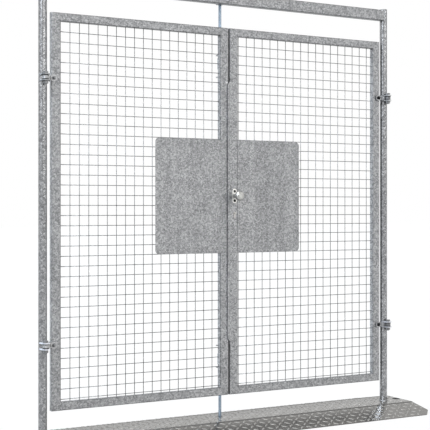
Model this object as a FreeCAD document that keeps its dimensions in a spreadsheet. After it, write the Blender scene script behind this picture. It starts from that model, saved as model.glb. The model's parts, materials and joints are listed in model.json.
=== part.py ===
"""Free-standing double-leaf temporary fence gate, in millimetres.

X runs along the gate, Y away from the side that it opens to, Z up.
The origin is on the ground, in the middle of the ramp that carries the gate.
"""
import FreeCAD, Part
import math
import os
import re
import Sketcher

Vector = FreeCAD.Vector
Rotation = FreeCAD.Rotation
RIGHT = Vector(1, 0, 0)
REAR = Vector(0, 1, 0)
UP = Vector(0, 0, 1)

# Driving sizes, each kept in a cell of the sheet under the same name
SIZES = {
    "post_spacing": 2075.0,
    "post_diameter": 42.4,
    "post_wall": 2.6,
    "post_top": 2290.0,
    "cap_thickness": 3.0,
    "header_height": 60.0,
    "header_depth": 40.0,
    "header_wall": 2.0,
    "header_corner": 2.0,
    "header_drop": 2.0,
    "deck_height": 41.5,
    "deck_width": 208.0,
    "slope_depth": 207.0,
    "ramp_overhang": 118.5,
    "ramp_plate": 5.0,
    "ramp_nose": 3.0,
    "corner_cut_along": 58.0,
    "corner_cut_across": 60.0,
    "rib_thickness": 6.0,
    "rib_toe_height": 6.0,
    "upright_hole": 44.0,
    "upright_hole_inset": 27.0,
    "floor_hole": 26.0,
    "foot_gap": 118.5,
    "head_gap": 125.5,
    "leaf_depth": 30.0,
    "leaf_offset": 40.5,
    "meeting_gap": 8.0,
    "hinge_stile_width": 46.0,
    "meeting_stile_width": 50.0,
    "rail_height": 41.5,
    "tube_wall": 2.0,
    "tube_corner": 2.0,
    "vent_hole": 8.0,
    "vent_inset": 10.0,
    "mesh_pitch": 50.0,
    "mesh_wire": 3.5,
    "mesh_weld": 0.6,
    "left_wire_inset": 4.5,
    "right_wire_inset": 10.0,
    "bottom_wire_inset": 10.5,
    "guard_width_left": 418.0,
    "guard_width_right": 392.0,
    "guard_below": 301.0,
    "guard_height": 598.0,
    "guard_thickness": 3.0,
    "guard_corner": 22.0,
    "guard_gap": 5.0,
    "guard_seam": 3.0,
    "strip_end_gap": 285.0,
    "strip_lap": 9.0,
    "strip_flange": 42.0,
    "strip_thickness": 4.0,
    "strip_clearance": 5.0,
    "strip_chamfer": 14.0,
    "pin_offset": 41.5,
    "pin_diameter": 16.0,
    "pin_head_width": 24.0,
    "pin_head_height": 10.0,
    "pin_nut_height": 13.0,
    "pin_tail": 4.0,
    "pin_clearance": 0.25,
    "hinge_inset": 322.0,
    "lug_width": 40.0,
    "lug_thickness": 6.0,
    "lug_gap": 23.0,
    "eye_diameter": 30.0,
    "eye_clearance": 0.3,
    "eye_bore_clearance": 0.4,
    "strap_thickness": 6.0,
    "strap_lap": 20.0,
    "strap_neck": 14.0,
    "strap_crank": 18.0,
    "lock_height": 1213.0,
    "lock_setback": 26.0,
    "escutcheon_height": 77.0,
    "escutcheon_width": 28.0,
    "escutcheon_thickness": 3.0,
    "knob_diameter": 50.0,
    "knob_head_depth": 36.0,
    "knob_rounding": 15.5,
    "knob_standoff": 50.0,
    "knob_neck_diameter": 18.0,
    "knob_collar_diameter": 24.0,
    "knob_collar_length": 10.0,
    "cylinder_drop": 92.0,
    "cylinder_diameter": 17.0,
    "cylinder_tail_width": 10.0,
    "cylinder_tail_drop": 24.5,
    "cylinder_proud": 3.0,
    "cylinder_clearance": 0.25,
    "lever_diameter": 18.0,
    "lever_standoff": 50.0,
    "lever_length": 120.0,
    "lever_bend": 20.0,
    "bolt_diameter": 16.0,
    "bolt_setback": 26.0,
    "bolt_standoff": 17.0,
    "bolt_clearance": 0.3,
    "bolt_guide_near": 142.0,
    "bolt_tail": 14.0,
    "bolt_keeper_rise": 2.0,
    "bolt_engagement": 20.0,
    "grip_diameter": 26.0,
    "grip_length": 58.0,
    "grip_gap": 12.0,
    "grip_room": 40.0,
    "guide_width": 34.0,
    "guide_thickness": 6.0,
    "guide_edge": 13.0,
    "keeper_hole": 18.0,
}
RIB_COUNT = 5

# Places that follow from the driving sizes
DERIVED = {
    "post_x": "(post_spacing / 2)",
    "post_radius": "(post_diameter / 2)",
    "header_bottom": "(post_top - header_drop - header_height)",
    "ramp_length": "(post_spacing + 2 * ramp_overhang)",
    "ramp_front": "(deck_width / 2 + slope_depth)",
    "ramp_fall": "((deck_height - ramp_nose) / slope_depth)",
    "ramp_drop": "(ramp_plate * sqrt(1 + ramp_fall * ramp_fall))",
    "ramp_under": "(deck_height - ramp_drop)",
    "rib_foot": "(deck_width / 2 + (ramp_under - rib_toe_height) / ramp_fall)",
    "leaf_bottom": "(deck_height + foot_gap)",
    "leaf_top": "(header_bottom - head_gap)",
    "leaf_height": "(leaf_top - leaf_bottom)",
    "leaf_front": "(leaf_depth / 2)",
    "leaf_width": "(post_x - leaf_offset - meeting_gap / 2)",
    "leaf_outer": "(post_x - leaf_offset)",
    "leaf_inner": "(meeting_gap / 2)",
    "hinge_low": "(leaf_bottom + hinge_inset)",
    "hinge_high": "(leaf_top - hinge_inset)",
    "lug_pitch": "(lug_gap + lug_thickness)",
    "eye_height": "(lug_gap - 2 * eye_clearance)",
    "strip_front": "(leaf_front + strip_thickness)",
    "strip_bottom": "(leaf_bottom + strip_end_gap)",
    "strip_height": "(leaf_height - 2 * strip_end_gap)",
    "guard_bottom": "(lock_height - guard_below)",
    "lock_x": "(leaf_inner + lock_setback)",
    "bolt_x": "(leaf_inner + bolt_setback)",
    "bolt_y": "(leaf_front + bolt_standoff)",
    "grip_start": "(bolt_guide_near + guide_thickness / 2 + grip_gap)",
    "grip_end": "(grip_start + grip_length)",
    "bolt_guide_far": "(grip_end + grip_room + guide_thickness / 2)",
    "mesh_bottom": "(leaf_bottom + rail_height)",
    "mesh_top": "(leaf_top - rail_height)",
    "mesh_first_row": "(mesh_bottom + bottom_wire_inset)",
    "mesh_layer": "(mesh_wire - mesh_weld)",
}

doc = FreeCAD.newDocument("temporary_fence_gate")
sheet = doc.addObject("Spreadsheet::Sheet", "sizes")
for row, (alias, value) in enumerate(SIZES.items(), start=1):
    sheet.set(f"A{row}", alias.replace("_", " "))
    sheet.set(f"B{row}", str(value))
    sheet.setAlias(f"B{row}", alias)
doc.recompute()

sub_parts = []


def formula(text):
    """Expression text in which each size names its cell."""
    def spell_out(match):
        word = match.group()
        if word in DERIVED:
            return formula(DERIVED[word])
        return f"sizes.{word}" if word in SIZES else word
    return re.sub(r"[a-z_]+", spell_out, str(text))


def number(text):
    """Present value of a formula."""
    return float(sheet.evalExpression(formula(text)))


def bind(obj, **properties):
    """Tie properties of an object to formulas."""
    for name, text in properties.items():
        obj.setExpression(name, formula(text))


def place(obj, x="0", y="0", z="0", turn=Rotation()):
    """Set an object's place by formulas and its turn by a rotation."""
    obj.Placement = FreeCAD.Placement(Vector(), turn)
    for axis, text in zip("xyz", (x, y, z)):
        obj.setExpression(f"Placement.Base.{axis}", formula(text))
    return obj


def axes_turn(x_goes, y_goes):
    """Turn that lays the X and Y axes along two directions."""
    return Rotation(x_goes, y_goes, x_goes.cross(y_goes), "XYZ")


def sub_part(obj, label):
    """Name an object as a finished piece of the gate."""
    obj.Label = label
    sub_parts.append(obj)
    return obj


def box(length, width, height, x, y, z):
    made = doc.addObject("Part::Box", "box")
    bind(made, Length=length, Width=width, Height=height)
    return place(made, x, y, z)


def cylinder(radius, height, x, y, z, turn=Rotation()):
    made = doc.addObject("Part::Cylinder", "cylinder")
    bind(made, Radius=radius, Height=height)
    return place(made, x, y, z, turn)


def hexagon(across_flats, height, x, y, z):
    made = doc.addObject("Part::Prism", "hexagon")
    made.Polygon = 6
    bind(made, Circumradius=f"{across_flats} / sqrt(3)", Height=height)
    return place(made, x, y, z)


def cut(base, tool):
    made = doc.addObject("Part::Cut", "cut")
    made.Base = base
    made.Tool = tool
    return made


def fuse(*pieces):
    made = doc.addObject("Part::MultiFuse", "fuse")
    made.Shapes = list(pieces)
    return made


def group(*pieces):
    """Like pieces that don't touch, kept as one sub-part."""
    made = doc.addObject("Part::Compound", "group")
    made.Links = list(pieces)
    return made


def fix_point(made, edge, end, x, y):
    """Hold one point of a sketch at formulas for its two coordinates."""
    for kind, text in (("DistanceX", x), ("DistanceY", y)):
        index = made.addConstraint(Sketcher.Constraint(kind, -1, 1, edge, end, number(text)))
        made.setExpression(f"Constraints[{index}]", formula(text))


def add_polygon(made, corners):
    points = [Vector(number(x), number(y), 0) for x, y in corners]
    first = made.GeometryCount
    for start, end in zip(points, points[1:] + points[:1]):
        made.addGeometry(Part.LineSegment(start, end), False)
    for step, (x, y) in enumerate(corners):
        following = first + (step + 1) % len(corners)
        made.addConstraint(Sketcher.Constraint("Coincident", first + step, 2, following, 1))
        fix_point(made, first + step, 1, x, y)


def add_rounded_rectangle(made, left, right, low, high, radius):
    """Rectangle whose sides are joined by tangent arcs."""
    near_x, far_x = f"{left} + {radius}", f"{right} - ({radius})"
    near_y, far_y = f"{low} + {radius}", f"{high} - ({radius})"
    ends = [(near_x, low), (far_x, low), (right, near_y), (right, far_y),
            (far_x, high), (near_x, high), (left, far_y), (left, near_y)]
    points = [Vector(number(x), number(y), 0) for x, y in ends]
    centres = [(far_x, near_y), (far_x, far_y), (near_x, far_y), (near_x, near_y)]
    sides = [made.addGeometry(Part.LineSegment(*points[2 * step:2 * step + 2]), False) for step in range(4)]
    for step, (x, y) in enumerate(centres):
        circle = Part.Circle(Vector(number(x), number(y), 0), UP, number(radius))
        start = (step - 1) * math.pi / 2
        arc = made.addGeometry(Part.ArcOfCircle(circle, start, start + math.pi / 2), False)
        made.addConstraint(Sketcher.Constraint("Tangent", sides[step], 2, arc, 1))
        made.addConstraint(Sketcher.Constraint("Tangent", arc, 2, sides[(step + 1) % 4], 1))
        fix_point(made, arc, 3, x, y)
        index = made.addConstraint(Sketcher.Constraint("Radius", arc, number(radius)))
        made.setExpression(f"Constraints[{index}]", formula(radius))


def add_circle(made, x, y, radius):
    centre = Vector(number(x), number(y), 0)
    edge = made.addGeometry(Part.Circle(centre, Vector(0, 0, 1), number(radius)), False)
    fix_point(made, edge, 3, x, y)
    index = made.addConstraint(Sketcher.Constraint("Radius", edge, number(radius)))
    made.setExpression(f"Constraints[{index}]", formula(radius))


def new_body():
    return doc.addObject("PartDesign::Body", "body")


def sketch(body, role, polygons=(), circles=()):
    """Sketch on one of the body's own planes."""
    made = body.newObject("Sketcher::SketchObject", "sketch")
    plane = next(item for item in body.Origin.OriginFeatures if item.Role == role)
    made.AttachmentSupport = [(plane, "")]
    made.MapMode = "FlatFace"
    for corners in polygons:
        add_polygon(made, corners)
    for circle in circles:
        add_circle(made, *circle)
    return made


def pad(body, profile, length):
    made = body.newObject("PartDesign::Pad", "pad")
    made.Profile = profile
    bind(made, Length=length)
    doc.recompute()
    return made


def pocket(body, profile):
    """Cut a profile through everything on the side that its plane faces."""
    before = body.Shape.Volume
    made = body.newObject("PartDesign::Pocket", "pocket")
    made.Profile = profile
    made.Type = "ThroughAll"
    made.Reversed = True
    doc.recompute()
    if body.Shape.Volume >= before:
        raise RuntimeError("a pocket cut nothing")
    return made


def rectangle(left, right, low, high):
    return [(left, low), (right, low), (right, high), (left, high)]


def plate(role, thickness, polygons=(), circles=()):
    """Flat piece padded from one sketch."""
    body = new_body()
    pad(body, sketch(body, role, polygons, circles), thickness)
    return body


def box_tube(length, width, depth, wall, corner):
    """Rolled tube along X, with its section from Y = 0 to width and from Z = 0 to depth."""
    body = new_body()
    section = sketch(body, "YZ_Plane")
    add_rounded_rectangle(section, "0", width, "0", depth, f"({corner} + {wall})")
    add_rounded_rectangle(section, wall, f"{width} - {wall}", wall, f"{depth} - {wall}", corner)
    pad(body, section, length)
    return body


def bent_bar(diameter, first_leg, second_leg, bend):
    """Round bar that leaves the origin along X and turns towards Y."""
    body = new_body()
    reach, rise, turn = number(first_leg), number(second_leg), number(bend)
    path = sketch(body, "XY_Plane")
    path.addGeometry(Part.LineSegment(Vector(), Vector(reach - turn, 0, 0)), False)
    circle = Part.Circle(Vector(reach - turn, turn, 0), Vector(0, 0, 1), turn)
    path.addGeometry(Part.ArcOfCircle(circle, -math.pi / 2, 0), False)
    path.addGeometry(Part.LineSegment(Vector(reach, turn, 0), Vector(reach, rise, 0)), False)
    path.addConstraint(Sketcher.Constraint("Coincident", 0, 1, -1, 1))
    path.addConstraint(Sketcher.Constraint("Horizontal", 0))
    path.addConstraint(Sketcher.Constraint("Vertical", 2))
    path.addConstraint(Sketcher.Constraint("Tangent", 0, 2, 1, 1))
    path.addConstraint(Sketcher.Constraint("Tangent", 1, 2, 2, 1))
    index = path.addConstraint(Sketcher.Constraint("Radius", 1, turn))
    path.setExpression(f"Constraints[{index}]", formula(bend))
    fix_point(path, 2, 2, first_leg, second_leg)
    section = sketch(body, "YZ_Plane", circles=[("0", "0", f"{diameter} / 2")])
    pipe = body.newObject("PartDesign::AdditivePipe", "pipe")
    pipe.Profile = section
    pipe.Spine = (path, ["Edge1", "Edge2", "Edge3"])
    doc.recompute()
    return body


# Ramp: a flat deck with a sloping plate before and behind it, on cross ribs
def make_deck():
    half_length = "ramp_length / 2"
    half_width = "deck_width / 2"
    upright = "ramp_length / 2 - upright_hole_inset"
    outline = rectangle(f"-{half_length}", half_length, f"-{half_width}", half_width)
    holes = [(f"-({upright})", "0", "upright_hole / 2"), (upright, "0", "upright_hole / 2"),
             ("-bolt_x", "bolt_y", "floor_hole / 2")]
    deck = plate("XY_Plane", "ramp_plate", [outline], holes)
    sub_part(place(deck, z="deck_height - ramp_plate"), "ramp_deck")


def make_ramp(label, turn):
    body = new_body()
    section = [("deck_width / 2", "deck_height"), ("deck_width / 2", "ramp_under"),
               ("deck_width / 2 + ramp_under / ramp_fall", "0"), ("ramp_front", "0"),
               ("ramp_front", "ramp_nose")]
    pad(body, sketch(body, "YZ_Plane", [section]), "ramp_length")
    cut_from = "ramp_front - corner_cut_across"
    near_corner = [("0", "ramp_front"), ("0", cut_from), ("corner_cut_along", "ramp_front")]
    far_corner = [("ramp_length", "ramp_front"), ("ramp_length - corner_cut_along", "ramp_front"),
                  ("ramp_length", cut_from)]
    pocket(body, sketch(body, "XY_Plane", [near_corner, far_corner]))
    side = "-" if turn.Angle == 0 else ""
    sub_part(place(body, x=f"{side}ramp_length / 2", turn=turn), label)


def make_ribs():
    section = [("-deck_width / 2", "deck_height - ramp_plate"), ("-deck_width / 2", "ramp_under"),
               ("-rib_foot", "rib_toe_height"), ("-rib_foot", "0"), ("rib_foot", "0"),
               ("rib_foot", "rib_toe_height"), ("deck_width / 2", "ramp_under"),
               ("deck_width / 2", "deck_height - ramp_plate")]
    ribs = []
    for step in range(RIB_COUNT):
        rib = plate("YZ_Plane", "rib_thickness", [section])
        along = f"post_spacing * {step} / {RIB_COUNT - 1} - post_x - rib_thickness / 2"
        ribs.append(place(rib, x=along))
    sub_part(group(*ribs), "ramp_ribs")


# Portal: two round posts with caps and a box beam between them
def make_post(side, sign):
    circles = [("0", "0", "post_radius"), ("0", "0", "post_radius - post_wall")]
    post = plate("XY_Plane", "post_top - deck_height", circles=circles)
    sub_part(place(post, f"{sign}post_x", z="deck_height"), f"{side}_post")
    cap = cylinder("post_radius", "cap_thickness", f"{sign}post_x", "0", "post_top")
    sub_part(cap, f"{side}_post_cap")


def make_header():
    beam = box_tube("post_spacing", "header_depth", "header_height", "header_wall", "header_corner")
    place(beam, "-post_x", "-header_depth / 2", "header_bottom")
    saddles = [cylinder("post_radius", "post_top", f"{sign}post_x", "0", "0") for sign in "-+"]
    sub_part(cut(beam, fuse(*saddles)), "header_beam")


def make_eye_plate(depth, hole):
    """Plate with a hole for the bolt, standing out from a face at Y = 0."""
    outline = rectangle("-guide_width / 2", "guide_width / 2", "0", f"{depth} + guide_edge")
    return plate("XY_Plane", "guide_thickness", [outline], [("0", depth, hole)])


def make_keeper():
    keeper = make_eye_plate("bolt_y - header_depth / 2", "keeper_hole / 2")
    sub_part(place(keeper, "-bolt_x", "header_depth / 2", "header_bottom + bolt_keeper_rise"), "bolt_keeper")


# Hinges: two lugs welded to the post, a bolt as pin, and a strap with an eye on the leaf
def make_lug():
    arm = rectangle("-lug_width / 2", "lug_width / 2", "-pin_offset", "0")
    body = plate("XY_Plane", "lug_thickness", [arm])
    pad(body, sketch(body, "XY_Plane", circles=[("0", "-pin_offset", "lug_width / 2")]), "lug_thickness")
    pin_hole = ("0", "-pin_offset", "pin_diameter / 2 + pin_clearance")
    pocket(body, sketch(body, "XY_Plane", circles=[("0", "0", "post_radius"), pin_hole]))
    return body


def make_lugs(side, sign):
    lugs = []
    for height in ("hinge_low", "hinge_high"):
        for offset in ("- lug_pitch / 2", "+ lug_pitch / 2"):
            bottom = f"{height} {offset} - lug_thickness / 2"
            lugs.append(place(make_lug(), f"{sign}post_x", z=bottom))
    sub_part(group(*lugs), f"{side}_hinge_lugs")


def make_pins(side, sign):
    pins = []
    for height in ("hinge_low", "hinge_high"):
        top = f"{height} + lug_gap / 2 + lug_thickness"
        nut_bottom = f"{height} - lug_gap / 2 - lug_thickness - pin_nut_height"
        axis = (f"{sign}post_x", "-pin_offset")
        length = "lug_gap + 2 * lug_thickness + pin_nut_height + pin_tail"
        shank = cylinder("pin_diameter / 2", length, *axis, f"{nut_bottom} - pin_tail")
        head = hexagon("pin_head_width", "pin_head_height", *axis, top)
        nut = hexagon("pin_head_width", "pin_nut_height", *axis, nut_bottom)
        pins.append(fuse(shank, head, nut))
    sub_part(group(*pins), f"{side}_hinge_pins")


def make_strap(label, side_sign, height):
    """Cranked strap from the pin's eye to the front of the hinge stile."""
    seat = "(pin_offset - leaf_front)"
    back = "(eye_diameter / 2)"
    end = "(leaf_offset + strap_lap)"
    plan = [("0", f"{back} - strap_thickness"), ("strap_neck", f"{back} - strap_thickness"),
            ("strap_neck + strap_crank", f"{seat} - strap_thickness"), (end, f"{seat} - strap_thickness"),
            (end, seat), ("strap_neck + strap_crank", seat), ("strap_neck", back), ("0", back)]
    facing = "" if side_sign == "-" else "-"
    plan = [(f"{facing}({x})", y) for x, y in plan]
    body = plate("XY_Plane", "eye_height", [plan])
    pad(body, sketch(body, "XY_Plane", circles=[("0", "0", "eye_diameter / 2")]), "eye_height")
    pocket(body, sketch(body, "XY_Plane", circles=[("0", "0", "pin_diameter / 2 + eye_bore_clearance")]))
    sub_part(place(body, f"{side_sign}post_x", "-pin_offset", f"{height} - eye_height / 2"), label)


# Leaves: mitred box tubes round a welded wire mesh
def mitred_tube(length, width, near_cut, far_cut):
    """Box tube along X whose ends are cut back from its outer edge at Y = 0."""
    body = box_tube(length, width, "leaf_depth", "tube_wall", "tube_corner")
    near_end = [("0", "0"), (near_cut, width), ("0", width)]
    far_end = [(length, "0"), (length, width), (f"{length} - {far_cut}", width)]
    pocket(body, sketch(body, "XY_Plane", [near_end, far_end]))
    return body


def make_leaf_frame(side, left_stile, right_stile, left_edge):
    """Four tubes of one leaf, from its left edge."""
    right_edge = f"{left_edge} + leaf_width"
    left = mitred_tube("leaf_height", left_stile, "rail_height", "rail_height")
    place(left, left_edge, "-leaf_front", "leaf_bottom", axes_turn(UP, RIGHT))
    right = mitred_tube("leaf_height", right_stile, "rail_height", "rail_height")
    place(right, right_edge, "leaf_front", "leaf_bottom", axes_turn(UP, -RIGHT))
    low = mitred_tube("leaf_width", "rail_height", left_stile, right_stile)
    place(low, left_edge, "leaf_front", "leaf_bottom", axes_turn(RIGHT, UP))
    sub_part(low, f"{side}_bottom_rail")
    high = mitred_tube("leaf_width", "rail_height", left_stile, right_stile)
    place(high, left_edge, "-leaf_front", "leaf_top", axes_turn(RIGHT, -UP))
    sub_part(high, f"{side}_top_rail")
    return left, right


def drill_vents(stile, outer_face):
    """Drain holes of the zinc bath, through a hinge stile's outer wall near both ends."""
    start = f"{outer_face} - 1.5 * tube_wall"
    holes = []
    for height in ("leaf_bottom + vent_inset", "leaf_top - vent_inset"):
        holes.append(cylinder("vent_hole / 2", "3 * tube_wall", start, "0", height, Rotation(REAR, 90)))
    return cut(stile, fuse(*holes))


def make_mesh(side, left_face, right_face, wire_inset):
    """Two halves of a welded mesh, upright wires before level ones."""
    span = f"{right_face} - ({left_face})"
    columns = 1 + int(number(f"({span} - {wire_inset} - mesh_wire) / mesh_pitch"))
    rows = 1 + int(number("(mesh_top - mesh_first_row - mesh_wire) / mesh_pitch"))
    lower_rows = rows // 2 + 1
    split = f"mesh_first_row + mesh_pitch * {2 * lower_rows - 1} / 2"
    halves = (("lower", "mesh_bottom", split, range(lower_rows)),
              ("upper", split, "mesh_top", range(lower_rows, rows)))
    for half, low, high, half_rows in halves:
        wires = []
        for column in range(columns):
            across = f"{left_face} + {wire_inset} + mesh_pitch * {column} - mesh_wire / 2"
            wires.append(box("mesh_wire", "mesh_wire", f"{high} - ({low})", across, "-mesh_layer", low))
        for row in half_rows:
            level = f"mesh_first_row + mesh_pitch * {row} - mesh_wire / 2"
            wires.append(box(span, "mesh_wire", "mesh_wire", left_face, "0", level))
        sub_part(fuse(*wires), f"{side}_mesh_{half}")


def make_guard(side, left_edge, right_edge, outer_edge):
    """Sheet that keeps hands off the lock, with its outer corners rounded."""
    body = plate("XZ_Plane", "guard_thickness", [rectangle(left_edge, right_edge, "0", "guard_height")])
    sheet_pad = body.Tip
    corners = []
    for index, edge in enumerate(sheet_pad.Shape.Edges, start=1):
        across = all(abs(end.X - number(outer_edge)) < 0.01 for end in edge.Vertexes)
        if across and abs(edge.Vertexes[0].Y - edge.Vertexes[1].Y) > 0.01:
            corners.append(f"Edge{index}")
    rounding = body.newObject("PartDesign::Fillet", "fillet")
    rounding.Base = (sheet_pad, corners)
    bind(rounding, Radius="guard_corner")
    sub_part(place(body, y="-leaf_front", z="guard_bottom"), f"{side}_guard_plate")


# Lock side: a cover strip over the meeting gap, a fixed knob, a key cylinder and a lever behind
def make_keyway(clearance):
    """Room of a key cylinder through the strip and the stile."""
    depth = "strip_front + leaf_front + 2 * cylinder_proud"
    front = "-strip_front - cylinder_proud"
    height = "lock_height - cylinder_drop"
    radius = f"cylinder_diameter / 2 + {clearance}"
    barrel = cylinder(radius, depth, "lock_x", front, height, Rotation(RIGHT, -90))
    tail_width = f"(cylinder_tail_width + 2 * {clearance})"
    tail_drop = f"(cylinder_tail_drop + {clearance})"
    tail = box(tail_width, depth, tail_drop, f"lock_x - {tail_width} / 2", front, f"{height} - {tail_drop}")
    return fuse(barrel, tail)


def make_cover_strip():
    lip_edge = "(-leaf_inner - strip_lap)"
    lip_back = "(-leaf_front - strip_clearance)"
    flange_end = "leaf_inner + strip_flange"
    section = [(flange_end, "-leaf_front"), ("leaf_inner", "-leaf_front"), ("-leaf_inner", lip_back),
               (lip_edge, lip_back), (lip_edge, f"{lip_back} - strip_thickness"),
               ("-leaf_inner", f"{lip_back} - strip_thickness"), ("leaf_inner", "-strip_front"),
               (flange_end, "-strip_front")]
    body = plate("XY_Plane", "strip_height", [section])
    inward = f"{lip_edge} + strip_chamfer"
    low_corner = [(lip_edge, "0"), (inward, "0"), (lip_edge, "strip_chamfer")]
    high_corner = [(lip_edge, "strip_height"), (lip_edge, "strip_height - strip_chamfer"),
                   (inward, "strip_height")]
    pocket(body, sketch(body, "XZ_Plane", [low_corner, high_corner]))
    place(body, z="strip_bottom")
    sub_part(cut(body, make_keyway("cylinder_clearance")), "cover_strip")


def make_escutcheon(label, y, turn):
    """Oval plate with its middle at the lock's height."""
    straight = "(escutcheon_height - escutcheon_width) / 2"
    half = "escutcheon_width / 2"
    body = plate("XZ_Plane", "escutcheon_thickness", [rectangle(f"-{half}", half, f"-{straight}", straight)])
    for rise in (straight, f"-{straight}"):
        pad(body, sketch(body, "XZ_Plane", circles=[("0", rise, half)]), "escutcheon_thickness")
    sub_part(place(body, "lock_x", y, "lock_height", turn), label)


def make_knob():
    """Turned knob: a collar, a neck and a head with rounded rims."""
    collar, neck, head = (f"knob_{part}diameter / 2" for part in ("collar_", "neck_", ""))
    head_back = "knob_standoff - knob_head_depth / 2"
    head_front = "knob_standoff + knob_head_depth / 2"
    outline = [("0", "0"), (collar, "0"), (collar, "knob_collar_length"), (neck, "knob_collar_length"),
               (neck, head_back), (head, head_back), (head, head_front), ("0", head_front)]
    body = new_body()
    profile = sketch(body, "XY_Plane", [outline])
    turned = body.newObject("PartDesign::Revolution", "revolution")
    turned.Profile = profile
    turned.ReferenceAxis = (profile, ["V_Axis"])
    turned.Angle = 360
    doc.recompute()
    rims = [f"Edge{index}" for index, edge in enumerate(turned.Shape.Edges, start=1)
            if isinstance(edge.Curve, Part.Circle) and abs(edge.Curve.Radius - number(head)) < 0.01]
    rounding = body.newObject("PartDesign::Fillet", "fillet")
    rounding.Base = (turned, rims)
    bind(rounding, Radius="knob_rounding")
    seat = "-strip_front - escutcheon_thickness"
    sub_part(place(body, "lock_x", seat, "lock_height", Rotation(UP, 180)), "door_knob")


def make_lock():
    make_cover_strip()
    make_escutcheon("knob_escutcheon", "-strip_front", Rotation())
    make_knob()
    sub_part(make_keyway("0"), "lock_cylinder")
    make_escutcheon("lever_escutcheon", "leaf_front", Rotation(UP, 180))
    lever = bent_bar("lever_diameter", "lever_standoff", "lever_length", "lever_bend")
    place(lever, "lock_x", "leaf_front + escutcheon_thickness", "lock_height", axes_turn(REAR, RIGHT))
    sub_part(lever, "rear_lever")


# Shoot bolts: rods with a thicker grip, in guides behind the left meeting stile
def make_bolt(label, low, high, grip_bottom):
    rod = cylinder("bolt_diameter / 2", f"{high} - ({low})", "-bolt_x", "bolt_y", low)
    grip = cylinder("grip_diameter / 2", "grip_length", "-bolt_x", "bolt_y", grip_bottom)
    sub_part(fuse(rod, grip), label)


def make_guides(label, heights):
    guides = []
    for height in heights:
        guide = make_eye_plate("bolt_standoff", "bolt_diameter / 2 + bolt_clearance")
        guides.append(place(guide, "-bolt_x", "leaf_front", f"{height} - guide_thickness / 2"))
    sub_part(group(*guides), label)


def make_bolts():
    upper_end = "header_bottom + bolt_keeper_rise + guide_thickness + bolt_engagement"
    upper_tail = "leaf_top - bolt_guide_far - bolt_tail"
    make_bolt("upper_bolt", upper_tail, upper_end, "leaf_top - grip_end")
    make_guides("upper_bolt_guides", ["leaf_top - bolt_guide_near", "leaf_top - bolt_guide_far"])
    lower_end = "deck_height - bolt_engagement"
    lower_tail = "leaf_bottom + bolt_guide_far + bolt_tail"
    make_bolt("lower_bolt", lower_end, lower_tail, "leaf_bottom + grip_start")
    make_guides("lower_bolt_guides", ["leaf_bottom + bolt_guide_near", "leaf_bottom + bolt_guide_far"])


def make_leaves():
    hinge_width, meeting_width = "hinge_stile_width", "meeting_stile_width"
    hinge_stile, meeting_stile = make_leaf_frame("left", hinge_width, meeting_width, "-leaf_outer")
    sub_part(drill_vents(hinge_stile, "-leaf_outer"), "left_hinge_stile")
    sub_part(meeting_stile, "left_meeting_stile")
    meeting_stile, hinge_stile = make_leaf_frame("right", meeting_width, hinge_width, "leaf_inner")
    sub_part(cut(meeting_stile, make_keyway("cylinder_clearance")), "right_meeting_stile")
    sub_part(drill_vents(hinge_stile, "leaf_outer"), "right_hinge_stile")
    left_faces = (f"-leaf_outer + {hinge_width}", f"-leaf_inner - {meeting_width}")
    make_mesh("left", *left_faces, "left_wire_inset")
    right_faces = (f"leaf_inner + {meeting_width}", f"leaf_outer - {hinge_width}")
    make_mesh("right", *right_faces, "right_wire_inset")
    left_guard_end = "(-leaf_inner - strip_lap - guard_gap)"
    left_guard_start = f"({left_guard_end} - guard_width_left)"
    make_guard("left", left_guard_start, left_guard_end, left_guard_start)
    right_guard_start = "(leaf_inner + strip_flange + guard_seam)"
    right_guard_end = f"({right_guard_start} + guard_width_right)"
    make_guard("right", right_guard_start, right_guard_end, right_guard_end)


def write_parts():
    """Refuse a failed object, then write each sub-part to its own file."""
    doc.recompute()
    for obj in doc.Objects:
        if "Invalid" in obj.State or "Error" in obj.State:
            raise RuntimeError(f"{obj.Label} failed: {obj.State}")
    os.makedirs("parts", exist_ok=True)
    for piece in sub_parts:
        shape = piece.Shape
        if shape.isNull() or not shape.isValid():
            raise RuntimeError(f"{piece.Label} has no valid shape")
        shape.exportStep(f"parts/{piece.Label}.step")


make_deck()
make_ramp("rear_ramp", Rotation())
make_ramp("front_ramp", Rotation(UP, 180))
make_ribs()
make_header()
make_keeper()
for gate_side, x_sign in (("left", "-"), ("right", "")):
    make_post(gate_side, x_sign)
    make_lugs(gate_side, x_sign)
    make_pins(gate_side, x_sign)
    for level, hinge in (("lower", "hinge_low"), ("upper", "hinge_high")):
        make_strap(f"{gate_side}_{level}_hinge_strap", x_sign, hinge)
make_leaves()
make_lock()
make_bolts()
write_parts()
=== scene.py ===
"""Looks of a free-standing double-leaf temporary fence gate, in metres.

X runs along the gate, Y away from the side that it opens to and Z up, as in the frame.
"""
import json
import math

import bmesh
import bpy
from mathutils import Matrix, Vector


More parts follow.
